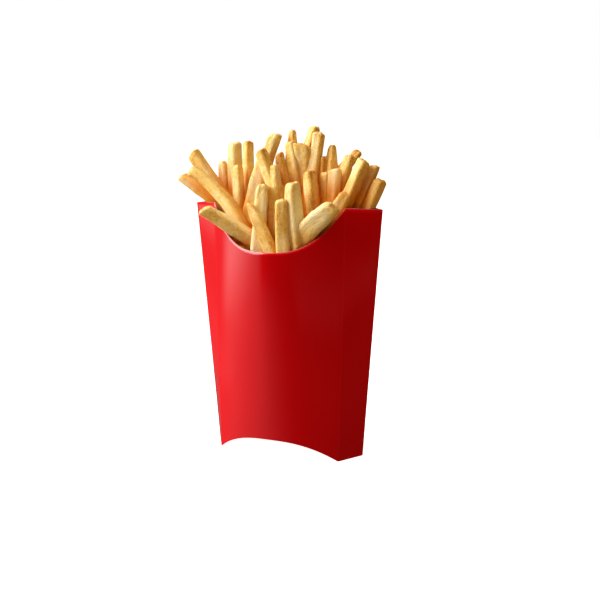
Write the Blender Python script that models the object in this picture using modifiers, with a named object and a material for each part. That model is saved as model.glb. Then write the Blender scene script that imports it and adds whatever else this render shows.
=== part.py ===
"""French fries in a folded paperboard carton that is open at the top.

Metres, +Z up. The carton stands on the two small triangles at the ends of its arched bottom. The origin is on the
floor, in the middle of the whole object's box, and the fries lean out further on the left than on the right, so the
carton's own middle lies a little to one side of it.
"""

import collections
import math
import random

import bmesh
import bpy
import numpy as np
from mathutils import Matrix, Vector

MM = 0.001

# Carton: half widths and half depths, seen from above, at the floor and at the shoulder where the sides end
SHOULDER = 140 * MM
BASE_EDGE = 45.6 * MM
BASE_CREASE = 36.6 * MM
BASE_CREASE_DEPTH = 15.5 * MM
BASE_BULGE = 11.8 * MM
MOUTH_EDGE = 57.3 * MM
MOUTH_CREASE = 39.6 * MM
MOUTH_CREASE_DEPTH = 10.8 * MM
MOUTH_BULGE = 19.8 * MM
MOUTH_BULGE_POWER = 1.7
MOUTH_ROOM = MOUTH_CREASE_DEPTH + MOUTH_BULGE
CREASE_RISE = 1.4 * MM
SCOOP_DEPTH = 23.5 * MM
SCOOP_POWER = 3
BACK_RISE = 10 * MM
BACK_POWER = 2.5
ARCH_RISE = 11.9 * MM
ARCH_POWER = 2.4
BOARD = 0.5 * MM
PANEL_STEPS = 20
SIDE_STEPS = 4
WALL_ROWS = 8

# Heap: a plain core that fills the carton, and the fries that stand in it
GAP = 0.3 * MM
CORE_GAP = 0.6 * MM
CORE_TOP = 112 * MM
CORE_TILT = 0.25
FRY_WIDTH = 6.4 * MM
FRY_CHAMFER = 0.22
FRY_CUTS = 4
TAPER_START = 0.75
FLATNESS = 0.84
FOOT_HEIGHT = 106 * MM
SEED = 7
WELD = 0.005 * MM

Fry = collections.namedtuple("Fry", "tip foot width bow point turn")

# The fries that show over the scoop, from left to right: tip and foot in mm from the carton's middle on the floor,
# width in mm, how far the middle is bowed to the left in mm, how far the tip narrows, as a share of the width, and how
# far the fry is turned to the left about its own length, in degrees
SHOWN = [
    Fry((-61, 4, 168), (-19, 0, 124), 6.6, 1, 0.0, 20),
    Fry((-66, -3, 155), (-22, -1, 131), 6.8, 1, 0.1, 10),
    Fry((-56, -8, 159), (-15, -14, 116), 7.6, -6, 0.2, 14),
    Fry((-39, -26, 140), (-5, -12, 116), 7.8, 0, 0.0, 6),
    Fry((-44, 8, 163), (-36, 1, 108), 6.4, 0, 0.2, 12),
    Fry((-36, 8, 174), (-33, 4, 106), 7.2, 0, 0.0, 6),
    Fry((-29, -3, 162), (-22, -12, 108), 6.8, 0, 0.3, 10),
    Fry((-26, 6, 175), (-24, -2, 110), 6.2, 0, 0.2, 24),
    Fry((-13, -5, 171), (14, -9, 118), 7.4, 1, 0.1, 12),
    Fry((-14, 2, 166), (-24, -13, 112), 9.0, 0, 0.2, -12),
    Fry((-12, 12, 179), (-32, 8, 120), 7.6, 0, 0.0, 20),
    Fry((-3, 16, 181), (-2, 12, 118), 7.2, 0, 0.55, 0),
    Fry((-5, 2, 169), (9, -7, 116), 6.8, 0, 0.3, 16),
    Fry((0, 6, 175), (14, -3, 112), 7.0, 0, 0.1, 8),
    Fry((7, 8, 174), (14, -1, 112), 7.8, 0, -0.3, 4),
    Fry((10, 18, 183), (-6, 10, 122), 6.6, 0, 0.2, 18),
    Fry((16, 10, 180), (9, -4, 112), 7.4, 0, 0.1, 8),
    Fry((23, 12, 173), (21, 3, 110), 8.0, 0, 0.55, 20),
    Fry((19, 8, 167), (22, -1, 112), 4.6, 0, 0.1, 30),
    Fry((24, 0, 159), (25, -9, 110), 6.2, 0, 0.2, 12),
    Fry((29, 1, 161), (29, -10, 112), 7.4, 0, 0.1, 16),
    Fry((38, 14, 170), (8, 8, 138), 5.8, 0, 0.2, 0),
    Fry((34, 9, 168), (24, 0, 118), 6.6, 0, 0.2, 10),
    Fry((47, 0, 166), (24, -12, 112), 8.0, 0, 0.2, 20),
    Fry((50, 6, 163), (31, -7, 112), 6.6, 0, 0.2, 8),
    Fry((56, 1, 156), (36, -1, 110), 6.6, 1, 0.1, 12),
    Fry((16, -5, 160), (24, -12, 114), 6.8, 0, 0.1, 10),
    Fry((12, -18, 155), (17, -20, 106), 8.2, 1, 0.1, 24),
    Fry((7, -22, 146), (9, -24, 106), 7.2, 0, 0.0, -22),
    Fry((-13, -20, 143), (6, -23, 106), 7.0, 0, 0.5, 0),
    Fry((-8, -14, 153), (-7, -21, 108), 7.8, 1, 0.2, -10),
    Fry((-4, -7, 163), (0, -15, 108), 6.6, 0, 0.3, 14),
    Fry((37, -21, 143), (11, -13, 114), 12.0, 3, 0.2, 0),
    Fry((39, -7, 149), (17, -13, 110), 8.2, 0, 0.1, 4),
]

# The other fries stand in rows between and behind them, spread by a rule with seeded draws
ROW_SPACING = 7.2 * MM
ROW_PITCH = math.sin(math.radians(60))
ROW_REACH = 46 * MM
ROW_SHIFT = 1.2 * MM
CLEAR_OF_SHOWN = 5.2 * MM
FRONT_TIP = 112 * MM
BACK_TIP = 160 * MM
TIP_SPREAD = 12 * MM
FANS = (0.16, 0.1, 0.05, 0)
CORNER_REACH = 0.62
CLEAR_STEPS = 12
WIDTHS = (0.88, 1.1)
BOWS = (-1, 1)
POINTS = (0, 0.3)
TURNS = (-12, 36)


def new_collection(name):
    """A collection of this name, linked to the scene."""
    collection = bpy.data.collections.new(name)
    bpy.context.scene.collection.children.link(collection)
    return collection


def material(name, colour, roughness):
    """A plain material of this colour, for the model's own views."""
    made = bpy.data.materials.new(name)
    made.use_nodes = True
    shader = made.node_tree.nodes["Principled BSDF"]
    shader.inputs["Base Color"].default_value = (*colour, 1)
    shader.inputs["Roughness"].default_value = roughness
    made.diffuse_color = (*colour, 1)
    return made


def add_object(name, bm, collection):
    """The bmesh as an object with its normals facing out."""
    bmesh.ops.recalc_face_normals(bm, faces=bm.faces)
    mesh = bpy.data.meshes.new(name)
    bm.to_mesh(mesh)
    bm.free()
    made = bpy.data.objects.new(name, mesh)
    collection.objects.link(made)
    return made


def half_places():
    """The columns of the front half, from the left edge to the right one: the place across the centre panel, from -1
    to 1, and the share of the way from a crease out to its edge."""
    side = np.linspace(0, 1, SIDE_STEPS + 1)
    panel = np.linspace(-1, 1, PANEL_STEPS + 1)
    t = np.concatenate([np.full(SIDE_STEPS, -1), panel, np.full(SIDE_STEPS, 1)])
    out = np.concatenate([side[:0:-1], 0 * panel, side[1:]])
    return t, out


def both_halves(front, back):
    """Values round the whole outline. Each half ends where the other starts."""
    return np.concatenate([front[:-1], back[:-1]])


def plan(crease, depth, bulge, power, edge):
    """One outline seen from above: a bulged centre panel in front and behind, and two flat sides that meet at each
    edge."""
    t, out = half_places()
    x = t * (crease + (edge - crease) * out)
    y = -depth * (1 - out) - bulge * (1 - np.abs(t) ** power)
    front = np.column_stack([x, y])
    return both_halves(front, -front)


def wall_points(heights, inset=0.0):
    """The wall's points, one for each column at its own height. Every column is a straight line from floor to mouth,
    and the inset moves each side of the outline inwards by that much."""
    base = plan(BASE_CREASE, BASE_CREASE_DEPTH, BASE_BULGE, 2, BASE_EDGE)
    mouth = plan(MOUTH_CREASE, MOUTH_CREASE_DEPTH, MOUTH_BULGE, MOUTH_BULGE_POWER, MOUTH_EDGE)
    flat = base + (mouth - base) * (heights / SHOULDER)[:, None]
    side = np.roll(flat, -1, axis=0) - flat
    side /= np.linalg.norm(side, axis=1)[:, None]
    after = np.column_stack([-side[:, 1], side[:, 0]])
    before = np.roll(after, 1, axis=0)
    mitre = (after + before) / (1 + (after * before).sum(axis=1))[:, None]
    return np.column_stack([flat + inset * mitre, heights])


def floor_heights():
    """How high each column starts: the bottom arches up between the creases and is flat outside them."""
    t, _ = half_places()
    arch = ARCH_RISE * (1 - np.abs(t) ** ARCH_POWER)
    return both_halves(arch, arch)


def rim_heights():
    """How high each column ends: a scoop in front, a low arch behind, and a shoulder at each side."""
    t, out = half_places()
    t = np.abs(t)
    shoulder = SHOULDER + CREASE_RISE * (1 - out)
    scoop = shoulder - SCOOP_DEPTH * (1 - t**SCOOP_POWER)
    back = shoulder + BACK_RISE * (1 - t**BACK_POWER)
    return both_halves(scoop, back)


def loft(bm, rings):
    """Joins each ring of points to the next with four-sided faces, and returns the rings of vertices."""
    made = [[bm.verts.new(point) for point in ring] for ring in rings]
    for lower, upper in zip(made, made[1:]):
        for i, low in enumerate(lower):
            j = (i + 1) % len(lower)
            bm.faces.new((low, lower[j], upper[j], upper[i]))
    return made


def close_floor(bm, ring):
    """The bottom panel: strips from the front panel to the back one, which end in a point at each side."""
    half = len(ring) // 2
    back = [ring[-i] for i in range(half + 1)]
    front = ring[: half + 1]
    bm.faces.new((front[0], back[1], front[1]))
    for i in range(1, half - 1):
        bm.faces.new((front[i], back[i], back[i + 1], front[i + 1]))
    bm.faces.new((front[half - 1], back[half - 1], front[half]))


def rows_between(low, high, inset=0.0):
    """Rings of wall points at even steps from the low heights to the high ones."""
    steps = np.linspace(0, 1, WALL_ROWS + 1)
    return [wall_points(low + (high - low) * step, inset) for step in steps]


def make_carton(collection):
    """One sheet of board, folded and glued: a sleeve with a centre panel in front and behind, a creased side at each
    end, and the bottom tucked up in an arch."""
    bm = bmesh.new()
    rings = loft(bm, rows_between(floor_heights(), rim_heights()))
    close_floor(bm, rings[0])
    carton = add_object("carton", bm, collection)
    board = carton.modifiers.new("board", "SOLIDIFY")
    board.thickness = BOARD
    board.offset = -1
    board.use_even_offset = True
    carton.data.materials.append(material("red paperboard", (0.68, 0.012, 0.025), 0.35))
    return carton


def make_core(collection):
    """The bare heap inside the carton, a gap clear of its walls and bottom, with a sloping top."""
    inset = BOARD + CORE_GAP
    floor = floor_heights() + 2 * inset
    across = wall_points(np.full(len(floor), CORE_TOP), inset)[:, 1]
    top = CORE_TOP + CORE_TILT * across
    bm = bmesh.new()
    rings = loft(bm, rows_between(floor, top, inset))
    close_floor(bm, rings[0])
    bm.faces.new(rings[-1])
    return add_object("fries", bm, collection)


def fry_mesh(bm, length, width, depth, point):
    """A cut stick of potato on the Z axis, with its edges cooked off, cuts along it so that it can bend, and its top
    end narrowed."""
    bmesh.ops.create_cube(bm, size=1)
    bmesh.ops.scale(bm, vec=(width, depth, length), verts=bm.verts)
    bmesh.ops.bevel(bm, geom=bm.edges[:], offset=width * FRY_CHAMFER, segments=1, affect="EDGES")
    for cut in range(1, FRY_CUTS + 1):
        level = length * (cut / (FRY_CUTS + 1) - 0.5)
        whole = bm.verts[:] + bm.edges[:] + bm.faces[:]
        bmesh.ops.bisect_plane(bm, geom=whole, plane_co=(0, 0, level), plane_no=(0, 0, 1))
    for vertex in bm.verts:
        up = vertex.co.z / length + 0.5
        thin = 1 - point * max(0, up - TAPER_START) / (1 - TAPER_START)
        vertex.co.x *= thin
        vertex.co.y *= thin


def add_fry(fry, draw, collection):
    """One fry from its foot to its tip, turned about its own length and bowed to its left."""
    foot = Vector(fry.foot) * MM
    tip = Vector(fry.tip) * MM
    axis = tip - foot
    left = axis.cross(Vector((0, 1, 0))).normalized()
    back = left.cross(axis).normalized()
    upright = Matrix((-left, -back, axis.normalized())).transposed()
    roll = Matrix.Rotation(math.radians(fry.turn), 3, "Z")
    turn = upright @ roll
    middle = (foot + tip) / 2
    bm = bmesh.new()
    width = fry.width * MM
    fry_mesh(bm, axis.length, width, width * draw.uniform(FLATNESS, 1), fry.point)
    for vertex in bm.verts:
        up = 2 * vertex.co.z / axis.length
        vertex.co = turn @ vertex.co + middle + left * (fry.bow * MM * (1 - up * up))
    return add_object("fry", bm, collection)


def place_at(fry, share):
    """A point on a fry's straight line, as a share of the way from its foot to its tip."""
    return (Vector(fry.foot) * MM).lerp(Vector(fry.tip) * MM, share)


def half_depth(x, z):
    """Half the carton's depth at this distance from its middle and this height."""
    up = z / SHOULDER
    crease = BASE_CREASE + (MOUTH_CREASE - BASE_CREASE) * up
    depth = BASE_CREASE_DEPTH + (MOUTH_CREASE_DEPTH - BASE_CREASE_DEPTH) * up
    bulge = BASE_BULGE + (MOUTH_BULGE - BASE_BULGE) * up
    edge = BASE_EDGE + (MOUTH_EDGE - BASE_EDGE) * up
    if abs(x) < crease:
        return depth + bulge * (1 - (abs(x) / crease) ** MOUTH_BULGE_POWER)
    return depth * (edge - abs(x)) / (edge - crease)


def rim_height(x, y):
    """How high the carton's wall stands in front of or behind this place."""
    t = min(1, abs(x) / MOUTH_CREASE)
    if y < 0:
        return SHOULDER + CREASE_RISE - SCOOP_DEPTH * (1 - t**SCOOP_POWER)
    return SHOULDER + CREASE_RISE + BACK_RISE * (1 - t**BACK_POWER)


def is_clear(fry):
    """Whether a fry keeps inside the carton's wall all the way up to its rim."""
    room_taken = BOARD + GAP + CORNER_REACH * fry.width * MM
    for step in range(CLEAR_STEPS + 1):
        spot = place_at(fry, step / CLEAR_STEPS)
        below_rim = spot.z < rim_height(spot.x, spot.y) + fry.width * MM / 2
        if below_rim and abs(spot.y) > half_depth(spot.x, spot.z) - room_taken:
            return False
    return True


def at_mouth(fry):
    """Where a fry crosses the height of the carton's shoulders, seen from above."""
    share = (SHOULDER / MM - fry.foot[2]) / (fry.tip[2] - fry.foot[2])
    return place_at(fry, share).xy


def other_fries(draw):
    """The fries behind and beside the shown ones: an even lattice of places in the mouth, each moved a little, with
    tips that fan outwards and rise towards the back. One that would cross the carton stands straighter."""
    taken = [at_mouth(fry) for fry in SHOWN]
    steps = int(ROW_REACH / ROW_SPACING)
    found = []
    for row in range(-steps, steps + 1):
        for column in range(-steps, steps + 1):
            x = (column + 0.5 * (row % 2)) * ROW_SPACING + draw.uniform(-ROW_SHIFT, ROW_SHIFT)
            y = row * ROW_SPACING * ROW_PITCH + draw.uniform(-ROW_SHIFT, ROW_SHIFT)
            width = draw.uniform(*WIDTHS) * FRY_WIDTH / MM
            bow = draw.uniform(*BOWS)
            point = draw.uniform(*POINTS)
            turn = draw.uniform(*TURNS)
            behind = 0.5 + y / (2 * MOUTH_ROOM)
            height = FRONT_TIP + (BACK_TIP - FRONT_TIP) * behind - TIP_SPREAD * draw.uniform(0, 1)
            if any((Vector((x, y)) - spot).length < CLEAR_OF_SHOWN for spot in taken):
                continue
            for fan in FANS:
                tip = (x * (1 + fan) / MM, y * (1 + fan) / MM, height / MM)
                foot = (x * (1 - fan) / MM, y * (1 - fan) / MM, FOOT_HEIGHT / MM)
                fry = Fry(tip, foot, width, bow, point, turn)
                if is_clear(fry):
                    found.append(fry)
                    break
    return found


def keep_largest_shell(mesh):
    """Drops loose scraps and fills any hollow that the union sealed, by keeping only the largest closed shell."""
    bm = bmesh.new()
    bm.from_mesh(mesh)
    left = set(bm.verts)
    shells = []
    while left:
        shell = {left.pop()}
        edge_of = set(shell)
        while edge_of:
            edge_of = {edge.other_vert(v) for v in edge_of for edge in v.link_edges} - shell
            shell |= edge_of
        left -= shell
        shells.append(shell)
    largest = max(shells, key=len)
    bmesh.ops.delete(bm, geom=[v for v in bm.verts if v not in largest], context="VERTS")
    bmesh.ops.remove_doubles(bm, verts=bm.verts, dist=WELD)
    bmesh.ops.dissolve_degenerate(bm, edges=bm.edges, dist=WELD)
    bm.to_mesh(mesh)
    bm.free()


def make_fries(collection, pieces):
    """The whole heap as one solid: the core with every fry joined to it."""
    draw = random.Random(SEED)
    core = make_core(collection)
    for fry in SHOWN + other_fries(draw):
        add_fry(fry, draw, pieces)
    joined = core.modifiers.new("fries", "BOOLEAN")
    joined.operation = "UNION"
    joined.operand_type = "COLLECTION"
    joined.collection = pieces
    joined.solver = "EXACT"
    bpy.context.view_layer.update()
    graph = bpy.context.evaluated_depsgraph_get()
    mesh = bpy.data.meshes.new_from_object(core.evaluated_get(graph))
    core.modifiers.clear()
    core.data = mesh
    for fry in pieces.objects[:]:
        bpy.data.objects.remove(fry)
    keep_largest_shell(mesh)
    mesh.materials.clear()
    mesh.materials.append(material("fried potato", (0.78, 0.47, 0.14), 0.55))
    return core


def centre_on_origin(objects):
    """Moves the meshes so that the middle of their common box is over the origin."""
    graph = bpy.context.evaluated_depsgraph_get()
    corners = [Vector(c) for made in objects for c in made.evaluated_get(graph).bound_box]
    x = [corner.x for corner in corners]
    y = [corner.y for corner in corners]
    middle = Vector(((min(x) + max(x)) / 2, (min(y) + max(y)) / 2, 0))
    for made in objects:
        made.data.transform(Matrix.Translation(-middle))


def main():
    for old in bpy.data.objects[:]:
        bpy.data.objects.remove(old)
    parts = new_collection("fries in a carton")
    pieces = new_collection("single fries")
    pieces.hide_render = True
    carton = make_carton(parts)
    fries = make_fries(parts, pieces)
    bpy.context.view_layer.update()
    centre_on_origin([carton, fries])


main()
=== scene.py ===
"""French fries in a folded red paperboard carton, dressed for one photograph and for views from all sides."""

import collections
import math
import random

import bmesh
import bpy
import numpy as np
from mathutils import Matrix, Vector


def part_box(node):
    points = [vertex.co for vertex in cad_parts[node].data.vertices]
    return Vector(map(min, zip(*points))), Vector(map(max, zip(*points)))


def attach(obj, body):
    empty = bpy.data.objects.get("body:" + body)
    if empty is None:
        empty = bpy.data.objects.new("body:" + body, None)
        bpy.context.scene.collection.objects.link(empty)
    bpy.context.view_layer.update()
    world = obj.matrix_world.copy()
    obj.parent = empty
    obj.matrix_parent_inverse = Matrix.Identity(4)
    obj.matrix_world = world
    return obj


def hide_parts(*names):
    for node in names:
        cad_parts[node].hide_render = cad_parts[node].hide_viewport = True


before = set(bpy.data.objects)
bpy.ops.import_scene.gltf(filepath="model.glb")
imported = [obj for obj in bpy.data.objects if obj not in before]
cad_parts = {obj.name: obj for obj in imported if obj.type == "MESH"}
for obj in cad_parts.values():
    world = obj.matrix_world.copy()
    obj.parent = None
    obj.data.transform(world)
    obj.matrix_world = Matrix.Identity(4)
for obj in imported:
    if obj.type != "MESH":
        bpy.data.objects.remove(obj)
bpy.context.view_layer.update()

# The carton is one sheet of solid bleached board about 0.5 mm thick, printed red outside under a gloss
# varnish, die-cut, creased, folded flat and glued. Opened out, its centre panels bulge and its bottom panel
# tucks up in an arch.
MM = 0.001
SHOULDER = 140 * MM
BASE_EDGE = 45.6 * MM
BASE_CREASE = 36.6 * MM
BASE_CREASE_DEPTH = 15.5 * MM
BASE_BULGE = 11.8 * MM
BASE_BULGE_POWER = 2
MOUTH_EDGE = 57.3 * MM
MOUTH_CREASE = 39.6 * MM
MOUTH_CREASE_DEPTH = 10.8 * MM
MOUTH_BULGE = 19.8 * MM
MOUTH_BULGE_POWER = 1.7
CREASE_RISE = 1.4 * MM
SCOOP_DEPTH = 23.5 * MM
SCOOP_POWER = 3
BACK_RISE = 10 * MM
BACK_POWER = 2.5
ARCH_RISE = 11.9 * MM
ARCH_POWER = 2.4
BOARD = 0.5 * MM
FOLD_RADIUS = 0.9 * MM
PANEL_STEPS = 72
PANEL_CROWDING = 0.7
SIDE_STEPS = 16
SIDE_CROWDING = 0.85
WALL_ROWS = 56
FLOOR_ROWS = 16
FAR_FROM_FOLD = 20.0
SAME_PLACE = 0.001 * MM
SHARP_ANGLE = math.radians(35)


def towards_ends(steps, crowding):
    """Places from 0 to 1, closer together at both ends: a mix of even steps and of half a cosine wave."""
    even = np.linspace(0, 1, steps + 1)
    return (1 - crowding) * even + crowding * (0.5 - 0.5 * np.cos(np.pi * even))


def half_places():
    """The columns of the front half: the place across the centre panel from -1 to 1, and the share of the way
    from a crease out to its edge."""
    side = towards_ends(SIDE_STEPS, SIDE_CROWDING)
    panel = 2 * towards_ends(PANEL_STEPS, PANEL_CROWDING) - 1
    t = np.concatenate([np.full(SIDE_STEPS, -1), panel, np.full(SIDE_STEPS, 1)])
    out = np.concatenate([side[:0:-1], np.zeros_like(panel), side[1:]])
    return t, out


def both_halves(front, back):
    """Values round the whole outline. Each half ends where the other starts."""
    return np.concatenate([front[:-1], back[:-1]])


def plan(crease, depth, bulge, power, edge):
    """One outline from above: a centre panel that bulges by 1 - |t| to a power, and flat sides that meet at an
    edge."""
    t, out = half_places()
    x = t * (crease + (edge - crease) * out)
    y = -depth * (1 - out) - bulge * (1 - np.abs(t) ** power)
    front = np.column_stack([x, y])
    return both_halves(front, -front)


def outline_sides(outline):
    """Each side of a closed outline as a unit vector and a length."""
    side = np.roll(outline, -1, axis=0) - outline
    length = np.linalg.norm(side, axis=1)
    return side / length[:, None], length


def fold_columns():
    """Where the four creases and the two outer folds stand in the row of columns."""
    half = PANEL_STEPS + 2 * SIDE_STEPS
    front = [0, SIDE_STEPS, SIDE_STEPS + PANEL_STEPS]
    return front + [half + column for column in front]


def to_fold(length, fold):
    """How far each column stands from one fold, the short way round the outline."""
    run = np.concatenate([[0], np.cumsum(length)[:-1]])
    away = np.abs(run - run[fold])
    return np.minimum(away, length.sum() - away)


def rounded_folds(outline):
    """Each fold as a parabola: within the fold's radius r, a point at distance a moves by (r - a) squared over
    4 r times the difference of the two directions that meet there."""
    side, length = outline_sides(outline)
    moved = outline.copy()
    for fold in fold_columns():
        turn = side[fold] - side[fold - 1]
        near = np.clip(FOLD_RADIUS - to_fold(length, fold), 0, None)
        moved += (near**2 / (4 * FOLD_RADIUS))[:, None] * turn
    return moved


def base_outline():
    """The carton's outline at the floor."""
    return rounded_folds(plan(BASE_CREASE, BASE_CREASE_DEPTH, BASE_BULGE, BASE_BULGE_POWER, BASE_EDGE))


def mouth_outline():
    """The carton's outline at the height of its shoulders."""
    return rounded_folds(plan(MOUTH_CREASE, MOUTH_CREASE_DEPTH, MOUTH_BULGE, MOUTH_BULGE_POWER, MOUTH_EDGE))


def wall_points(heights, inset=0.0):
    """The wall at one height for each column. A column is a straight line from the floor's outline to the
    mouth's, and the inset moves each side of the outline inwards by that much."""
    base = base_outline()
    flat = base + (mouth_outline() - base) * (heights / SHOULDER)[:, None]
    side, _ = outline_sides(flat)
    after = np.column_stack([-side[:, 1], side[:, 0]])
    before = np.roll(after, 1, axis=0)
    mitre = (after + before) / (1 + (after * before).sum(axis=1))[:, None]
    return np.column_stack([flat + inset * mitre, heights])


def floor_heights():
    """Where each column starts: the bottom edge arches up between the creases and is flat outside them."""
    t, _ = half_places()
    arch = ARCH_RISE * (1 - np.abs(t) ** ARCH_POWER)
    return both_halves(arch, arch)


def rim_heights():
    """Where each column ends: a scoop in front, a low arch behind, and a shoulder at each side."""
    t, out = half_places()
    t = np.abs(t)
    shoulder = SHOULDER + CREASE_RISE * (1 - out)
    scoop = shoulder - SCOOP_DEPTH * (1 - t**SCOOP_POWER)
    back = shoulder + BACK_RISE * (1 - t**BACK_POWER)
    return both_halves(scoop, back)


def tube_faces(rows, columns):
    """The four-sided faces of a grid of points whose last column joins its first, as rows of point numbers."""
    first = np.arange(columns)
    beside = (first + 1) % columns
    lower = np.arange(rows - 1)[:, None] * columns
    corners = [lower + first, lower + beside, lower + columns + beside, lower + columns + first]
    return np.stack(corners, axis=-1).reshape(-1, 4)


def bottom_panel(edge, first):
    """The panel that closes the bottom, straight from the front of the lowest row of points to its back: its
    own points, numbered from the first number, and its faces, which share the points of that row."""
    front = np.arange(len(edge) // 2 + 1)
    back = -front % len(edge)
    across = np.linspace(0, 1, FLOOR_ROWS + 1)[1:-1, None, None]
    points = edge[front] + (edge[back] - edge[front]) * across
    own = first + np.arange(FLOOR_ROWS - 1)[:, None] * len(front) + front
    rows = np.concatenate([front[None], own, back[None]])
    corners = [rows[:-1, :-1], rows[1:, :-1], rows[1:, 1:], rows[:-1, 1:]]
    return points.reshape(-1, 3), np.stack(corners, axis=-1).reshape(-1, 4)


steps = np.linspace(0, 1, WALL_ROWS + 1)[:, None]
wall_heights = floor_heights() + (rim_heights() - floor_heights()) * steps
wall = np.stack([wall_points(heights) for heights in wall_heights])
columns = wall.shape[1]

# The carton's own axis stands where the middle of its box does, less what the wall is uneven by.
low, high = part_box("carton")
wall_low, wall_high = wall.min(axis=(0, 1)), wall.max(axis=(0, 1))
MIDDLE = Vector(
    ((low.x + high.x - wall_low[0] - wall_high[0]) / 2, (low.y + high.y - wall_low[1] - wall_high[1]) / 2, 0)
)


def add_piece(name, points, faces, values=None):
    """A smooth mesh object from points in metres and faces, moved to the carton's middle and closed up, with
    named values kept for each point, each one number or three."""
    mesh = bpy.data.meshes.new(name)
    mesh.from_pydata(points + np.array(MIDDLE), [], [tuple(face) for face in faces])
    for key, value in (values or {}).items():
        kind, field = ("FLOAT", "value") if value.ndim == 1 else ("FLOAT_VECTOR", "vector")
        mesh.attributes.new(key, kind, "POINT").data.foreach_set(field, value.astype(np.float32).ravel())
    mesh.polygons.foreach_set("use_smooth", np.ones(len(mesh.polygons), bool))
    mesh.update()
    made = bpy.data.objects.new(name, mesh)
    bpy.context.scene.collection.objects.link(made)
    close_up(mesh)
    return made


def close_up(mesh):
    """Joins the points of a mesh that lie on each other, and turns its faces to point outwards."""
    bm = bmesh.new()
    bm.from_mesh(mesh)
    bmesh.ops.remove_doubles(bm, verts=bm.verts, dist=SAME_PLACE)
    bmesh.ops.recalc_face_normals(bm, faces=bm.faces)
    bm.to_mesh(mesh)
    bm.free()


panel_points, panel_faces = bottom_panel(wall[0], wall.shape[0] * columns)
_, base_lengths = outline_sides(base_outline())
nearest_fold = np.min([to_fold(base_lengths, fold) for fold in fold_columns()], axis=0) / MM
mm_to_fold = [np.tile(nearest_fold, WALL_ROWS + 1), np.full(len(panel_points), FAR_FROM_FOLD)]
carton = add_piece(
    "carton-board",
    np.concatenate([wall.reshape(-1, 3), panel_points]),
    np.concatenate([tube_faces(WALL_ROWS + 1, columns), panel_faces]),
    {"mm_to_fold": np.concatenate(mm_to_fold)},
)
carton.data.set_sharp_from_angle(angle=SHARP_ANGLE)
board = carton.modifiers.new("board", "SOLIDIFY")
board.thickness = BOARD
board.offset = -1
board.use_even_offset = True
board.material_offset = 1
board.material_offset_rim = 2


def colour(code):
    """An sRGB hex colour as the linear colour that a shader takes: each channel c becomes
    ((c + 0.055) / 1.055) to the power 2.4, or c / 12.92 where it is very dark."""
    channels = np.array([int(code[i : i + 2], 16) for i in (1, 3, 5)]) / 255
    linear = np.where(channels > 0.04045, ((channels + 0.055) / 1.055) ** 2.4, channels / 12.92)
    return (*linear.tolist(), 1.0)


def fill_socket(tree, socket, value):
    """Sets a socket to a value, or links it to another node's output."""
    if isinstance(value, bpy.types.NodeSocket):
        tree.links.new(value, socket)
    else:
        socket.default_value = value


def add_node(tree, kind, inputs=None, output=None, **settings):
    """Adds a node, sets its settings, fills its inputs, each with a value or with another node's output, and
    gives back its output of this name, or its first one."""
    made = tree.nodes.new(kind)
    for name, value in settings.items():
        setattr(made, name, value)
    for name, value in (inputs or {}).items():
        fill_socket(tree, next(s for s in made.inputs if s.enabled and s.name == name), value)
    return next(s for s in made.outputs if s.enabled and output in (None, s.name))


def combine(tree, operation, first, second):
    """The sum, product or other operation on two values or outputs."""
    made = tree.nodes.new("ShaderNodeMath")
    made.operation = operation
    fill_socket(tree, made.inputs[0], first)
    fill_socket(tree, made.inputs[1], second)
    return made.outputs[0]


def ramp(tree, value, start, end, first, last, kind="SMOOTHSTEP"):
    """A step from one level to another between two values of the input, smooth or else a straight line."""
    ends = {"From Min": start, "From Max": end, "To Min": first, "To Max": last}
    return add_node(tree, "ShaderNodeMapRange", {"Value": value, **ends}, interpolation_type=kind)


def mix(tree, share, first, second, kind="RGBA"):
    """A mix of two colours, or else of two numbers."""
    return add_node(tree, "ShaderNodeMix", {"Factor": share, "A": first, "B": second}, data_type=kind)


def noise(tree, place, size, detail, roughness=0.5):
    """A noise whose patches are about this size in metres."""
    inputs = {"Vector": place, "Scale": 1 / size, "Detail": detail, "Roughness": roughness}
    return add_node(tree, "ShaderNodeTexNoise", inputs)


def kept_value(tree, name, output="Fac"):
    """The value that a mesh keeps for each point under this name."""
    return add_node(tree, "ShaderNodeAttribute", output=output, attribute_name=name)


def new_material(name, **sockets):
    """A material whose shader has these constants set on its own sockets, with its node tree and its shader."""
    made = bpy.data.materials.new(name)
    made.use_nodes = True
    shader = made.node_tree.nodes["Principled BSDF"]
    for key, value in sockets.items():
        shader.inputs[key.replace("_", " ")].default_value = value
    return made, made.node_tree, shader


def matt_material(name, roughness, size, first, second):
    """A matt material whose colour wanders between two by a noise of this size."""
    made, tree, shader = new_material(name, Roughness=roughness)
    place = add_node(tree, "ShaderNodeTexCoord", output="Object")
    wandering = mix(tree, noise(tree, place, size, 4.0), colour(first), colour(second))
    tree.links.new(wandering, shader.inputs["Base Color"])
    return made


# Gloss-varnished board: offset ink over a clay coating, so its colour is even to within a few percent, and
# a thin clear varnish mirrors the studio. The ink is worn thin along creases, where the pale coating begins
# to show. How far a point is from its nearest fold is kept in mm, and the width of the worn line is in mm
# too.
INK = "#D0030F"
INK_DEEP = "#C8000B"
WORN_INK = "#E8453F"
CREASE_WIDTH = 0.5
CREASE_WEAR = 0.1
FIBRE_SIZE = 0.9 * MM
FIBRE_HEIGHT = 0.004 * MM
SHEET_WAVE = 30 * MM
SHEET_WAVE_HEIGHT = 0.12 * MM
printed, tree, shader = new_material(
    "gloss varnished red board",
    Roughness=0.5,
    Specular_IOR_Level=0.0,
    Coat_Weight=1.0,
    Coat_Roughness=0.12,
    Coat_IOR=1.5,
)
place = add_node(tree, "ShaderNodeTexCoord", output="Object")
fibre = noise(tree, place, FIBRE_SIZE, 3.0)
wave = noise(tree, place, SHEET_WAVE, 1.0)
ink = mix(tree, wave, colour(INK), colour(INK_DEEP))
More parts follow.
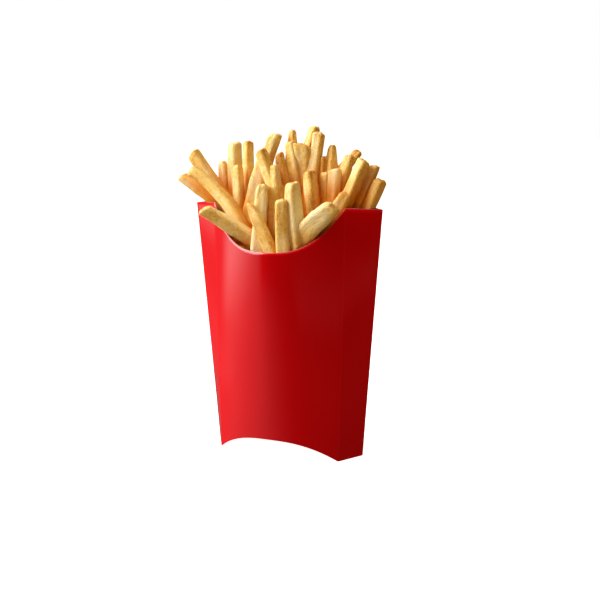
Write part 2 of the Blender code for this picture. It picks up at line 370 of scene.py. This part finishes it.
crease = ramp(tree, kept_value(tree, "mm_to_fold"), 0.0, CREASE_WIDTH, 1.0, 0.0)
worn = combine(tree, "MULTIPLY", crease, CREASE_WEAR)
tree.links.new(mix(tree, worn, ink, colour(WORN_INK)), shader.inputs["Base Color"])
fine = add_node(tree, "ShaderNodeBump", {"Height": fibre, "Distance": FIBRE_HEIGHT, "Strength": 1.0})
broad = add_node(
    tree, "ShaderNodeBump", {"Height": wave, "Distance": SHEET_WAVE_HEIGHT, "Normal": fine, "Strength": 1.0}
)
tree.links.new(broad, shader.inputs["Normal"])
tree.links.new(broad, shader.inputs["Coat Normal"])

# The inside is printed the same red without varnish, so it is matt. The cut edge is bare board between two
# inked faces: pale fibres, stained pink by the ink that the die drags over them.
inside = matt_material("matt red board", 0.7, FIBRE_SIZE, "#A80D14", "#BE1820")
cut = matt_material("cut board edge", 0.85, FIBRE_SIZE, "#F2A08C", "#D95A50")
for made in (printed, inside, cut):
    carton.data.materials.append(made)
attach(carton, "root")
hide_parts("carton")

# The portion is a packed heap of thin-cut fries. Below the rim it is one solid core, lumpy on top like the
# fries that lie deeper than the eye reaches. There everything is potato in shade, and its colour is painted
# shade: a darker and warmer gold.
CORE_GAP = 0.6 * MM
CORE_TOP = 112 * MM
CORE_TILT = 0.25
CORE_ROWS = 30
CORE_RINGS = 26
LUMP = 7 * MM
LUMP_RISE = 0.8 * MM
LID_SINK = 1 * MM
FLESH_PATCH = 4 * MM
inset = BOARD + CORE_GAP
core_floor = floor_heights() + 2 * inset
core_top = CORE_TOP + CORE_TILT * wall_points(np.full(columns, CORE_TOP), inset)[:, 1]
rise = np.linspace(0, 1, CORE_ROWS + 1)[:, None]
core_heights = core_floor + (core_top - core_floor) * rise
core_wall = np.stack([wall_points(heights, inset) for heights in core_heights])
lid_middle = core_wall[-1].mean(axis=0)
shrink = np.linspace(1, 0, CORE_RINGS + 1)[1:-1, None, None]
lid = lid_middle + (core_wall[-1] - lid_middle) * shrink
lumps = np.sin(lid[..., 0] * 2 * np.pi / LUMP) * np.sin(lid[..., 1] * 2 * np.pi / LUMP)
lid[..., 2] += LUMP_RISE * lumps - LID_SINK
pole = (CORE_ROWS + CORE_RINGS) * columns
last_ring = pole - columns + np.arange(columns)
pole_faces = np.stack([last_ring, np.roll(last_ring, -1), np.full(columns, pole)], axis=-1)
base_points, base_faces = bottom_panel(core_wall[0], pole + 1)
core = add_piece(
    "fries-core",
    np.concatenate([core_wall.reshape(-1, 3), lid.reshape(-1, 3), lid_middle[None], base_points]),
    tube_faces(CORE_ROWS + CORE_RINGS, columns).tolist() + pole_faces.tolist() + base_faces.tolist(),
)
# The core's darker, warmer gold is painted shade for the deep heap.
core.data.materials.append(matt_material("packed fried potato in painted shade", 0.6, FLESH_PATCH, "#B06A1E", "#D99A3E"))
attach(core, "root")
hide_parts("fries")

# Each fry is a stick of potato about 7 mm thick, blanched and deep-fried: soft rounded corners, faces that
# sink a little as the inside dries, ends cut off square or askew, and a thickness that wanders. They stand
# loosely in the heap.
FRY_WIDTH = 6.4 * MM
FOOT_HEIGHT = 106 * MM
SEED = 7

# Tip and foot are places in mm from the carton's middle on the floor, and the width is in mm. The bow is
# how far the middle is bent to the left in mm, the point how far the tip narrows, the turn how far the fry
# is turned to the left in degrees, the tone how dark it is from -1 to 1, brown how browned its end is, and
# the slant how far its end is cut askew.
Fry = collections.namedtuple("Fry", "tip foot width bow point turn tone brown slant", defaults=(0, 0, 0))
SHOWN = [
    Fry((-61, 4, 168), (-19, 0, 124), 6.6, 1, 0.0, 20, 0.1, 0.2, 0.2),
    Fry((-66, -3, 155), (-22, -1, 131), 6.8, 1, 0.1, 10, -0.6, 0.3, -0.3),
    Fry((-56, -8, 159), (-15, -14, 116), 7.6, -6, 0.2, 14, 0.1, 0.2, 0.3),
    Fry((-39, -26, 140), (-5, -12, 116), 7.8, 0, 0.0, 6, 0.0, 0.1, -0.5),
    Fry((-44, 8, 163), (-36, 1, 108), 6.4, 0, 0.2, 12, -0.5, 0.3, 0.2),
    Fry((-36, 8, 174), (-33, 4, 106), 7.2, 0, 0.0, 6, -0.6, 0.2, 0.1),
    Fry((-29, -3, 162), (-22, -12, 108), 6.8, 0, 0.3, 10, 0.2, 0.4, 0.0),
    Fry((-26, 6, 175), (-24, -2, 110), 6.2, 0, 0.2, 24, 0.2, 0.8, 0.1),
    Fry((-13, -5, 171), (14, -9, 118), 7.4, 1, 0.1, 12, 0.3, 0.4, 0.1),
    Fry((-14, 2, 166), (-24, -13, 112), 9.0, 0, 0.2, -12, -0.8, 0.2, 0.2),
    Fry((-12, 12, 179), (-32, 8, 120), 7.6, 0, 0.0, 20, -0.3, 0.4, 0.5),
    Fry((-3, 16, 181), (-2, 12, 118), 7.2, 0, 0.55, 0, 0.0, 0.3, 0.2),
    Fry((-5, 2, 169), (9, -7, 116), 6.8, 0, 0.3, 16, 0.3, 0.4, 0.3),
    Fry((0, 6, 175), (14, -3, 112), 7.0, 0, 0.1, 8, 0.4, 0.5, 0.1),
    Fry((7, 8, 174), (14, -1, 112), 7.8, 0, -0.3, 4, 0.3, 1.0, -0.5),
    Fry((10, 18, 183), (-6, 10, 122), 6.6, 0, 0.2, 18, -0.3, 0.5, 0.1),
    Fry((16, 10, 180), (9, -4, 112), 7.4, 0, 0.1, 8, -0.3, 0.5, 0.0),
    Fry((23, 12, 173), (21, 3, 110), 8.0, 0, 0.55, 20, 0.4, 0.8, 0.1),
    Fry((19, 8, 167), (22, -1, 112), 4.6, 0, 0.1, 30, 0.5, 0.4, 0.0),
    Fry((24, 0, 159), (25, -9, 110), 6.2, 0, 0.2, 12, 0.0, 0.2, 0.0),
    Fry((29, 1, 161), (29, -10, 112), 7.4, 0, 0.1, 16, -0.4, 0.2, 0.2),
    Fry((38, 14, 170), (8, 8, 138), 5.8, 0, 0.2, 0, 0.1, 0.6, 0.2),
    Fry((34, 9, 168), (24, 0, 118), 6.6, 0, 0.2, 10, 0.0, 0.6, 0.2),
    Fry((47, 0, 166), (24, -12, 112), 8.0, 0, 0.2, 20, 0.0, 0.3, -0.3),
    Fry((50, 6, 163), (31, -7, 112), 6.6, 0, 0.2, 8, -0.5, 0.4, 0.3),
    Fry((56, 1, 156), (36, -1, 110), 6.6, 1, 0.1, 12, 0.4, 0.6, 0.1),
    Fry((16, -5, 160), (24, -12, 114), 6.8, 0, 0.1, 10, 0.3, 1.0, 0.1),
    Fry((12, -18, 155), (17, -20, 106), 8.2, 1, 0.1, 24, -0.5, 0.1, 0.1),
    Fry((7, -22, 146), (9, -24, 106), 7.2, 0, 0.0, -22, -0.1, 0.1, 0.1),
    Fry((-13, -20, 143), (6, -23, 106), 7.0, 0, 0.5, 0, 0.0, 0.3, -0.5),
    Fry((-8, -14, 153), (-7, -21, 108), 7.8, 1, 0.2, -10, -0.5, 0.2, 0.1),
    Fry((-4, -7, 163), (0, -15, 108), 6.6, 0, 0.3, 14, 0.0, 0.4, 0.0),
    Fry((37, -21, 143), (11, -13, 114), 12.0, 3, 0.2, 0, 0.0, 0.4, 0.0),
    Fry((39, -7, 149), (17, -13, 110), 8.2, 0, 0.1, 4, -0.5, 0.1, 0.0),
]

# The fries behind and beside these stand in rows: an even lattice of places in the mouth, each moved a
# little, with tips that fan outwards and rise towards the back. The last seven values are the spreads of
# what differs from fry to fry.
GAP = 0.3 * MM
ROW_SPACING = 7.2 * MM
ROW_PITCH = math.sin(math.radians(60))
ROW_REACH = 46 * MM
ROW_SHIFT = 1.2 * MM
CLEAR_OF_SHOWN = 5.2 * MM
FRONT_TIP = 112 * MM
BACK_TIP = 160 * MM
TIP_SPREAD = 12 * MM
MOUTH_ROOM = MOUTH_CREASE_DEPTH + MOUTH_BULGE
FANS = (0.16, 0.1, 0.05, 0)
CORNER_REACH = 0.62
CLEAR_STEPS = 12
WIDTHS = (0.88, 1.1)
BOWS = (-1, 1)
POINTS = (0, 0.3)
TURNS = (-12, 36)
TONES = (-0.8, 0.5)
BROWNS = (0.1, 0.9)
SLANTS = (-0.3, 0.3)


def place_at(fry, share):
    """A point on a fry's straight line, as a share of the way from its foot to its tip."""
    return (Vector(fry.foot) * MM).lerp(Vector(fry.tip) * MM, share)


def half_depth(x, z):
    """Half the carton's depth at this distance from its middle and this height."""
    up = z / SHOULDER
    crease = BASE_CREASE + (MOUTH_CREASE - BASE_CREASE) * up
    depth = BASE_CREASE_DEPTH + (MOUTH_CREASE_DEPTH - BASE_CREASE_DEPTH) * up
    bulge = BASE_BULGE + (MOUTH_BULGE - BASE_BULGE) * up
    edge = BASE_EDGE + (MOUTH_EDGE - BASE_EDGE) * up
    if abs(x) < crease:
        return depth + bulge * (1 - (abs(x) / crease) ** MOUTH_BULGE_POWER)
    return depth * (edge - abs(x)) / (edge - crease)


def rim_height(x, y):
    """How high the carton's wall stands in front of or behind this place."""
    t = min(1, abs(x) / MOUTH_CREASE)
    if y < 0:
        return SHOULDER + CREASE_RISE - SCOOP_DEPTH * (1 - t**SCOOP_POWER)
    return SHOULDER + CREASE_RISE + BACK_RISE * (1 - t**BACK_POWER)


def is_clear(fry):
    """Whether a fry keeps inside the carton's wall all the way up to its rim."""
    room_taken = BOARD + GAP + CORNER_REACH * fry.width * MM
    for step in range(CLEAR_STEPS + 1):
        spot = place_at(fry, step / CLEAR_STEPS)
        below_rim = spot.z < rim_height(spot.x, spot.y) + fry.width * MM / 2
        if below_rim and abs(spot.y) > half_depth(spot.x, spot.z) - room_taken:
            return False
    return True


def at_mouth(fry):
    """Where a fry crosses the height of the carton's shoulders, seen from above."""
    share = (SHOULDER / MM - fry.foot[2]) / (fry.tip[2] - fry.foot[2])
    return place_at(fry, share).xy


def lattice_fries(draw):
    """The fries of the lattice that stand clear of the shown ones and of the carton. One that would cross the
    carton stands straighter, or is left out."""
    taken = [at_mouth(fry) for fry in SHOWN]
    steps = int(ROW_REACH / ROW_SPACING)
    found = []
    for row in range(-steps, steps + 1):
        for column in range(-steps, steps + 1):
            x = (column + 0.5 * (row % 2)) * ROW_SPACING + draw.uniform(-ROW_SHIFT, ROW_SHIFT)
            y = row * ROW_SPACING * ROW_PITCH + draw.uniform(-ROW_SHIFT, ROW_SHIFT)
            width = draw.uniform(*WIDTHS) * FRY_WIDTH / MM
            bow = draw.uniform(*BOWS)
            point = draw.uniform(*POINTS)
            turn = draw.uniform(*TURNS)
            behind = 0.5 + y / (2 * MOUTH_ROOM)
            height = FRONT_TIP + (BACK_TIP - FRONT_TIP) * behind - TIP_SPREAD * draw.uniform(0, 1)
            if any((Vector((x, y)) - spot).length < CLEAR_OF_SHOWN for spot in taken):
                continue
            for fan in FANS:
                tip = (x * (1 + fan) / MM, y * (1 + fan) / MM, height / MM)
                foot = (x * (1 - fan) / MM, y * (1 - fan) / MM, FOOT_HEIGHT / MM)
                fry = Fry(tip, foot, width, bow, point, turn)
                if is_clear(fry):
                    found.append(fry)
                    break
    return found


def with_own_look(fry, chance):
    """One of the lattice's fries with a tone, a browned end and a cut of its own."""
    tone = chance.uniform(*TONES)
    brown = chance.uniform(*BROWNS)
    return fry._replace(tone=tone, brown=brown, slant=chance.uniform(*SLANTS))


# A fry's surface. Shares are of its width, its length or a full tone, lengths of lumps and patches are in
# cells of its grid, and a pair of values is the spread from fry to fry.
AROUND = 32
BODY_ROWS = 44
ROUND_ROWS = 5
CAP_ROWS = 5
FLATNESS = 0.84
SQUARENESS = 3.7
FACE_SINK = 0.06
END_RADIUS = 0.27
CAP_DISH = 0.5 * MM
END_ROUGHNESS = 0.2 * MM
ROUGH_ALONG = 0.8
ROUGH_AROUND = 1.0
END_ROOM = 0.2 * MM
BOX_ROOM = 0.3 * MM
TAPER_START = 0.75
TWISTS = (-0.24, 0.24)
WANDER = 0.4 * MM
WANDER_LENGTH = 9 * MM
WANDERS = (0.3, 1)
SWELL = 0.07
SWELL_LENGTH = 7 * MM
SWELLS = (0.4, 1.4)
LUMP_HEIGHT = 0.0375
LUMP_ALONG = 3.2
LUMP_AROUND = 2.2
PATCH_CRUST = 0.16
PATCH_ALONG = 4.0
PATCH_AROUND = 3.0
CORNER_CRUSTS = (-0.2, 0.4)
END_CRUST = 0.5
END_CRUST_POWER = 3
END_REACH = 9 * MM
STREAK = 0.6

# Deep between the others a fry is lit only through them, so its colour there is painted shade: a deeper, warmer
# gold. The canopy is the height below which that painted shade begins: it rises from the front to the back. The
# painted shade is full where another fry stands near, and weaker where none does.
FRONT_CANOPY = 110 * MM
BACK_CANOPY = 168 * MM
CANOPY_SLOPE = 2.2
CANOPY_DEPTH = 24 * MM
NEAR = 6 * MM
TOUCHING = 1.5 * MM
ALONE = 0.4
TOUCH_SHADE = 0.1


def smooth_field(chance, rows, count, along, around):
    """Random numbers on a grid that wraps both ways, blurred by a Gaussian of this many cells along and around,
    and scaled back to a spread of 1."""
    waves = np.fft.fft2(chance.standard_normal((rows, count)))
    across_rows = np.exp(-2 * (np.pi * along * np.fft.fftfreq(rows)) ** 2)[:, None]
    across_columns = np.exp(-2 * (np.pi * around * np.fft.fftfreq(count)) ** 2)[None]
    field = np.fft.ifft2(waves * across_rows * across_columns).real
    return field / field.std()


def smooth_step(value, start, end):
    """0 below the start, 1 above the end, and 3 s squared less 2 s cubed between them."""
    share = np.clip((value - start) / (end - start), 0, 1)
    return share * share * (3 - 2 * share)


def gap_to_others(points, fry, others):
    """How far each point stands from the nearest other fry: its distance from that fry's straight line, with
    the nearest place on the line at the share (p - foot) . (tip - foot) / |tip - foot|^2, less half that fry's
    width."""
    others = [other for other in others if other is not fry]
    foot = np.array([other.foot for other in others]) * MM
    along = np.array([other.tip for other in others]) * MM - foot
    half_width = np.array([other.width for other in others]) * MM / 2
    away = points[..., None, :] - foot
    share = np.clip((away * along).sum(axis=-1) / (along**2).sum(axis=-1), 0, 1)
    distance = np.linalg.norm(away - share[..., None] * along, axis=-1)
    return (distance - half_width).min(axis=-1)


def painted_shade_share(painted_shade, gap):
    """How far a face takes on the painted shade of the heap: as far as it lies below the canopy, less where no
    other fry is near, and a little more where one touches it."""
    beside = smooth_step(-gap, -NEAR, -TOUCHING)
    return painted_shade * (ALONE + (1 - ALONE) * beside) * (1 - TOUCH_SHADE) + TOUCH_SHADE * beside


def kept_in(points, lowest, highest):
    """A fry bent back, by more towards its tip, where it would reach past this box: by the square of the share
    of its rows, times what it is past."""
    below = np.clip(lowest - points.min(axis=(0, 1)), 0, None)
    above = np.clip(points.max(axis=(0, 1)) - highest, 0, None)
    share = np.linspace(0, 1, len(points))[:, None, None]
    return points + share**2 * (below - above)


def fry_rows(length, width):
    """How far each row stands from the fry's middle, and how wide it is as a share. Rows shrink to a point at
    both ends: at the tip along a quarter circle and then over a dished end."""
    radius = END_RADIUS * width
    rounding = 2 * END_RADIUS
    body = np.linspace(-length / 2, length / 2 - radius, BODY_ROWS)
    swing = np.linspace(0, np.pi / 2, ROUND_ROWS + 1)[1:]
    inner = np.linspace(1, 0, CAP_ROWS + 1)[1:]
    dish = np.full(CAP_ROWS, length / 2) - CAP_DISH * (1 - inner**2)
    z = np.concatenate([body[:1], body, body[-1] + radius * np.sin(swing), dish])
    rounded = 1 - rounding * (1 - np.cos(swing))
    return z, np.concatenate([[0], np.ones(BODY_ROWS), rounded, (1 - rounding) * inner])


def fry_columns():
    """The angle of each column, how far out it stands and how much of a corner it is. A row is a square with
    rounded corners, r = 1 / (|cos|^n + |sin|^n)^(1/n), whose faces sink a little."""
    angle = np.linspace(0, 2 * np.pi, AROUND, endpoint=False)
    square = (np.abs(np.cos(angle)) ** SQUARENESS + np.abs(np.sin(angle)) ** SQUARENESS) ** (-1 / SQUARENESS)
    corner = (square - 1) / (square.max() - 1)
    return angle, square * (1 - FACE_SINK * (1 - corner) ** 2), corner


def fry_surface(fry, depth_share, chance):
    """One fry as a grid of points, rows along it from foot to tip and columns round it, with its marks: how
    crusted and how dark each point is, how deep it lies in the painted shade of the heap, and its place on the
    fry itself."""
    foot = np.array(fry.foot) * MM
    tip = np.array(fry.tip) * MM
    width = fry.width * MM
    length = np.linalg.norm(tip - foot)
    end = length / 2
    axis = (tip - foot) / length
    left = np.cross(axis, (0, 1, 0))
    left /= np.linalg.norm(left)
    back = np.cross(left, axis)
    roll = math.radians(fry.turn)
    z, shrink = fry_rows(length, width)
    angle, square, corner = fry_columns()
    size = (len(z), AROUND)

    # Of the four phases the last two aren't used. They are drawn so that what is drawn after them stays.
    swell_phase, wander_phase, _, _ = chance.uniform(0, 2 * np.pi, 4)
    up = z / length + 0.5
    thin = 1 - fry.point * np.clip(up - TAPER_START, 0, None) / (1 - TAPER_START)
    swell = 1 + SWELL * np.sin(z / SWELL_LENGTH + swell_phase) * chance.uniform(*SWELLS)
    lumps = 1 + LUMP_HEIGHT * smooth_field(chance, *size, LUMP_ALONG, LUMP_AROUND)
    rough = END_ROUGHNESS * smooth_field(chance, *size, ROUGH_ALONG, ROUGH_AROUND)
    rough = rough * smooth_step(z, end - END_RADIUS * width, end)[:, None]
    reach = (shrink * thin * swell)[:, None] * square * lumps * width / 2
    x = reach * np.cos(angle)
    y = reach * np.sin(angle) * depth_share
    askew = fry.slant * (x * np.cos(roll) - y * np.sin(roll)) * smooth_step(z, end - width, end)[:, None]
    tall = np.clip(z[:, None] + askew, None, end + END_ROOM) + rough

    turn = roll + chance.uniform(*TWISTS) * up[:, None]
    drift = WANDER * np.sin(z / WANDER_LENGTH + wander_phase)[:, None] * chance.uniform(*WANDERS)
    across_x = x * np.cos(turn) - y * np.sin(turn) + drift
    across_y = x * np.sin(turn) + y * np.cos(turn)
    bow = fry.bow * MM * (1 - (2 * z / length) ** 2)[:, None]
    points = (
        (foot + tip) / 2
        + (across_x[..., None] * -left)
        + (across_y[..., None] * -back)
        + tall[..., None] * axis
        + bow[..., None] * left
    )

    # How far below the canopy a point lies sets how much painted shade it gets.
    canopy = np.minimum(FRONT_CANOPY + CANOPY_SLOPE * (points[..., 1] + MOUTH_ROOM), BACK_CANOPY)
    patches = smooth_field(chance, *size, PATCH_ALONG, PATCH_AROUND)
    near_end = smooth_step(z, end - END_REACH, end)[:, None]
    crust = PATCH_CRUST * patches + chance.uniform(*CORNER_CRUSTS) * corner
    crust = crust + fry.brown * END_CRUST * near_end**END_CRUST_POWER
    own_place = np.stack([x, y, np.broadcast_to(z[:, None] * STREAK, size)], axis=-1) + chance.uniform(-1, 1, 3)
    return points, {
        "crust": crust.ravel(),
        "tone": np.full(crust.size, fry.tone),
        "painted_shade": smooth_step(canopy - points[..., 2], 0, CANOPY_DEPTH).ravel(),
        "own_place": own_place.reshape(-1, 3),
    }


draw = random.Random(SEED)
chance = np.random.default_rng(SEED)
behind = lattice_fries(draw)
heap = SHOWN + behind
lowest, highest = [np.array(corner) - np.array(MIDDLE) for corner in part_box("fries")]
fries = []
for name, members in (("fries-in-front", SHOWN), ("fries-behind", behind)):
    points, marks = [], []
    for fry in members:
        depth_share = draw.uniform(FLATNESS, 1)
        finished = fry if members is SHOWN else with_own_look(fry, chance)
        grid, own_marks = fry_surface(finished, depth_share, chance)
        grid = kept_in(grid, lowest + BOX_ROOM, highest - BOX_ROOM)
        # Painted shade: deeper still where another fry stands near.
        own_marks["painted_shade"] = painted_shade_share(own_marks["painted_shade"], gap_to_others(grid, fry, heap).ravel())
        points.append(grid.reshape(-1, 3))
        marks.append(own_marks)
    one_fry = tube_faces(len(grid), AROUND)
    made = add_piece(
        name,
        np.concatenate(points),
        np.concatenate([one_fry + number * len(points[0]) for number in range(len(members))]),
        {key: np.concatenate([own_marks[key] for own_marks in marks]) for key in marks[0]},
    )
    fries.append(made)

# Fried potato: pale cream flesh under a thin gold crust that browns towards the ends and in patches, with fine
# blisters, and a film of frying oil that gives soft small highlights. Light goes a millimetre or two into it.
# Deep between other fries its colour is painted shade: the deep orange gold of light that has come through
# them.
PALE = "#F9EBB4"
GOLD = "#F4CE6C"
BROWN = "#D08C2E"
# The colour of the painted shade deep in the heap.
PAINTED_SHADE_GOLD = "#E68E12"
MOTTLE_SIZE = 1.8 * MM
MOTTLE_HEIGHT = 0.7 * MM
MOTTLE_CRUST = 0.26
BLISTER_SIZE = 0.55 * MM
BLISTER_HEIGHT = 0.4 * MM
BLISTER_CRUST = 0.26
NOISE_RANGE = (0.3, 0.7)
TONE_CRUST = (0.1, 0.75)
GOLD_RANGE = (0.0, 0.7)
BROWN_RANGE = (0.6, 1.3)
potato, tree, shader = new_material(
    "fried potato",
    Subsurface_Weight=0.25,
    Subsurface_Radius=(1.0, 0.6, 0.3),
    Subsurface_Scale=1.5 * MM,
    Roughness=0.55,
    Specular_IOR_Level=0.35,
    Coat_Weight=0.04,
    Coat_Roughness=0.3,
)
place = kept_value(tree, "own_place", "Vector")
mottle = noise(tree, place, MOTTLE_SIZE, 3.0, 0.6)
blister = noise(tree, place, BLISTER_SIZE, 2.0)
depth_of_tone = ramp(tree, kept_value(tree, "tone"), -1.0, 1.0, *TONE_CRUST, "LINEAR")
browning = combine(tree, "ADD", kept_value(tree, "crust"), depth_of_tone)
for pattern, strength in ((mottle, MOTTLE_CRUST), (blister, BLISTER_CRUST)):
    spread = ramp(tree, pattern, *NOISE_RANGE, -strength, strength, "LINEAR")
    browning = combine(tree, "ADD", browning, spread)
flesh = mix(tree, ramp(tree, browning, *GOLD_RANGE, 0.0, 1.0), colour(PALE), colour(GOLD))
crusted = mix(tree, ramp(tree, browning, *BROWN_RANGE, 0.0, 1.0), flesh, colour(BROWN))
# Painted shade: mixes in the deep orange gold where a face lies deep between other fries.
with_painted_shade = mix(tree, kept_value(tree, "painted_shade"), crusted, colour(PAINTED_SHADE_GOLD))
tree.links.new(with_painted_shade, shader.inputs["Base Color"])
bumps = add_node(tree, "ShaderNodeBump", {"Height": mottle, "Distance": MOTTLE_HEIGHT, "Strength": 1.0})
bumps = add_node(
    tree, "ShaderNodeBump", {"Height": blister, "Distance": BLISTER_HEIGHT, "Normal": bumps, "Strength": 1.0}
)
tree.links.new(bumps, shader.inputs["Normal"])
for made in fries:
    made.data.materials.append(potato)
    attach(made, "root")
    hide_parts("fries")

# The camera stands to the front right of the carton and a little above it, at the distance of a short
# telephoto lens. Its place is worked out from the carton's own middle.
CAMERA_TURN = math.radians(23.99)
CAMERA_TILT = math.radians(11.44)
CAMERA_ROLL = math.radians(-0.59)
CAMERA_DISTANCE = 636.8 * MM
CAMERA_HEIGHT = 86.3 * MM
CAMERA_SIDE = 6.95 * MM
LENS = 67.36


def towards(turn, tilt):
    """The unit vector to this turn from the front, to the right where it is positive, and this tilt upwards."""
    return Vector((math.sin(turn) * math.cos(tilt), -math.cos(turn) * math.cos(tilt), math.sin(tilt)))


right = Vector((math.cos(CAMERA_TURN), math.sin(CAMERA_TURN), 0))
backwards = towards(CAMERA_TURN, CAMERA_TILT)
level = Matrix((right, backwards.cross(right), backwards)).transposed()
camera_data = bpy.data.cameras.new("camera")
camera_data.lens = LENS
camera = bpy.data.objects.new("camera", camera_data)
bpy.context.scene.collection.objects.link(camera)
aim = MIDDLE + right * CAMERA_SIDE + Vector((0, 0, CAMERA_HEIGHT))
turned = level @ Matrix.Rotation(CAMERA_ROLL, 3, "Z")
camera.matrix_world = Matrix.Translation(aim + backwards * CAMERA_DISTANCE) @ turned.to_4x4()
bpy.context.scene.camera = camera

# The floor is a sweep of plain white paper, lit so brightly that it shows as even white. It gives that
# light itself and casts none on the carton, which the lights and the world below do.
FLOOR_REACH = 3.0
floor = bpy.data.objects.new("floor", bpy.data.meshes.new("floor"))
corners = [(-FLOOR_REACH, -FLOOR_REACH, 0), (FLOOR_REACH, -FLOOR_REACH, 0)]
corners += [(FLOOR_REACH, FLOOR_REACH, 0), (-FLOOR_REACH, FLOOR_REACH, 0)]
floor.data.from_pydata(corners, [], [(0, 1, 2, 3)])
bpy.context.scene.collection.objects.link(floor)
paper, _, _ = new_material(
    "white paper sweep",
    Base_Color=colour("#FAFAFA"),
    Roughness=0.9,
    Emission_Color=colour("#FFFFFF"),
    Emission_Strength=1.0,
)
floor.data.materials.append(paper)
floor.visible_glossy = False
floor.visible_diffuse = False

# The light is a large softbox high on the left. A tall panel at the carton's own height lights its left
# side, and a softbox overhead and one in front fill in weakly. Two strips close to the carton stand for the
# light that the white floor throws up at its foot, on the right and on the left.
LIGHTS_AIM = 100 * MM


def add_softbox(name, turn, tilt, distance, width, height, power, in_gloss=True, in_picture=True):
    """An oblong area light that looks at the middle of the object, from this turn and tilt in degrees, with
    sizes in metres. It can be kept out of what the varnish mirrors and out of the picture."""
    light = bpy.data.lights.new(name, "AREA")
    light.shape = "RECTANGLE"
    light.size = width
    light.size_y = height
    light.energy = power
    made = bpy.data.objects.new(name, light)
    away = towards(math.radians(turn), math.radians(tilt))
    made.location = MIDDLE + Vector((0, 0, LIGHTS_AIM)) + away * distance
    made.rotation_euler = away.to_track_quat("Z", "Y").to_euler()
    made.visible_glossy = in_gloss
    made.visible_camera = in_picture
    bpy.context.scene.collection.objects.link(made)


add_softbox("key softbox", turn=-66, tilt=35, distance=1.1, width=0.9, height=0.9, power=20.5)
add_softbox("side panel", turn=-94, tilt=4, distance=1.2, width=1.2, height=1.4, power=4.8, in_gloss=False)
add_softbox("top softbox", turn=-30, tilt=80, distance=1.0, width=0.9, height=0.9, power=3.0)
add_softbox("front fill", turn=10, tilt=45, distance=1.6, width=0.8, height=0.8, power=0.2)
hidden = {"in_gloss": False, "in_picture": False}
add_softbox("low fill", turn=42, tilt=-12, distance=0.26, width=0.2, height=0.04, power=0.06, **hidden)
add_softbox("left bounce", turn=-96, tilt=-28, distance=0.17, width=0.12, height=0.03, power=0.14, **hidden)

# What the varnish mirrors is a white wall on the left that falls off to the dark studio on the right. A
# turn is in degrees, 0 in front, -90 on the left and -180 behind, and a height is the sine of the angle
# above the level, times 57.3. Each value is where a light starts and ends, and its strength there: the wall
# above and below its lower edge, that edge, the wall's fall to the left of it and to the middle of the
# back, its bright patch from both sides and upwards, and a faint light on the floor at the back left.
UPPER_WALL = (-47, -31, 0.46, 0.0)
LOWER_WALL = (-50, 14, 0.38, 0.02)
WALL_EDGE = (-14.5, -12, 1.0, 0.0)
WALL_LEFT = (-106, -70, 0.3, 1.0)
WALL_BACK = (-178, -150, 0.15, 1.0)
PATCH_LEFT = (-100, -86, 0.0, 1.0)
PATCH_RIGHT = (-80, -32, 1.0, 0.0)
PATCH_FOOT = (-13.0, -8.5, 0.0, 1.6)
FLOOR_TURN = (-142, -134, 0.03, 0.0)
FLOOR_TOP = (-17.5, -15.5, 1.0, 0.0)
STUDIO_LIGHT = 0.29
STUDIO_WARMTH = "#FFC05C"
world = bpy.data.worlds.new("studio")
bpy.context.scene.world = world
world.use_nodes = True
tree = world.node_tree


def product(*values):
    """The product of two or more outputs of the world's tree."""
    total = values[0]
    for value in values[1:]:
        total = combine(tree, "MULTIPLY", total, value)
    return total


direction = add_node(tree, "ShaderNodeTexCoord", output="Generated")
parts = add_node(tree, "ShaderNodeSeparateXYZ", {"Vector": direction}).node.outputs
forward = product(parts["Y"], -1.0)
turn = product(combine(tree, "ARCTAN2", parts["X"], forward), math.degrees(1))
height = product(parts["Z"], math.degrees(1))
upper, lower = ramp(tree, turn, *UPPER_WALL), ramp(tree, turn, *LOWER_WALL)
wall_light = mix(tree, ramp(tree, height, *WALL_EDGE), upper, lower, "FLOAT")
wall_light = product(wall_light, ramp(tree, turn, *WALL_LEFT), ramp(tree, turn, *WALL_BACK))
patch = product(ramp(tree, turn, *PATCH_LEFT), ramp(tree, turn, *PATCH_RIGHT), ramp(tree, height, *PATCH_FOOT))
floor_light = product(ramp(tree, turn, *FLOOR_TURN), ramp(tree, height, *FLOOR_TOP))
gloss = combine(tree, "ADD", combine(tree, "ADD", wall_light, patch), floor_light)

# The camera sees plain white, the varnish that wall, and everything else weak warm light from all round, as
# the fries throw it back on each other.
seen = add_node(tree, "ShaderNodeLightPath", output="Is Camera Ray")
mirrored = add_node(tree, "ShaderNodeLightPath", output="Is Glossy Ray")
strength = mix(tree, seen, mix(tree, mirrored, STUDIO_LIGHT, gloss, "FLOAT"), 1.0, "FLOAT")
neither = combine(tree, "SUBTRACT", 1.0, combine(tree, "MAXIMUM", seen, mirrored))
warmth = mix(tree, neither, colour("#FFFFFF"), colour(STUDIO_WARMTH))
tree.links.new(warmth, tree.nodes["Background"].inputs["Color"])
tree.links.new(strength, tree.nodes["Background"].inputs["Strength"])
bpy.context.scene.view_settings.view_transform = "Standard"
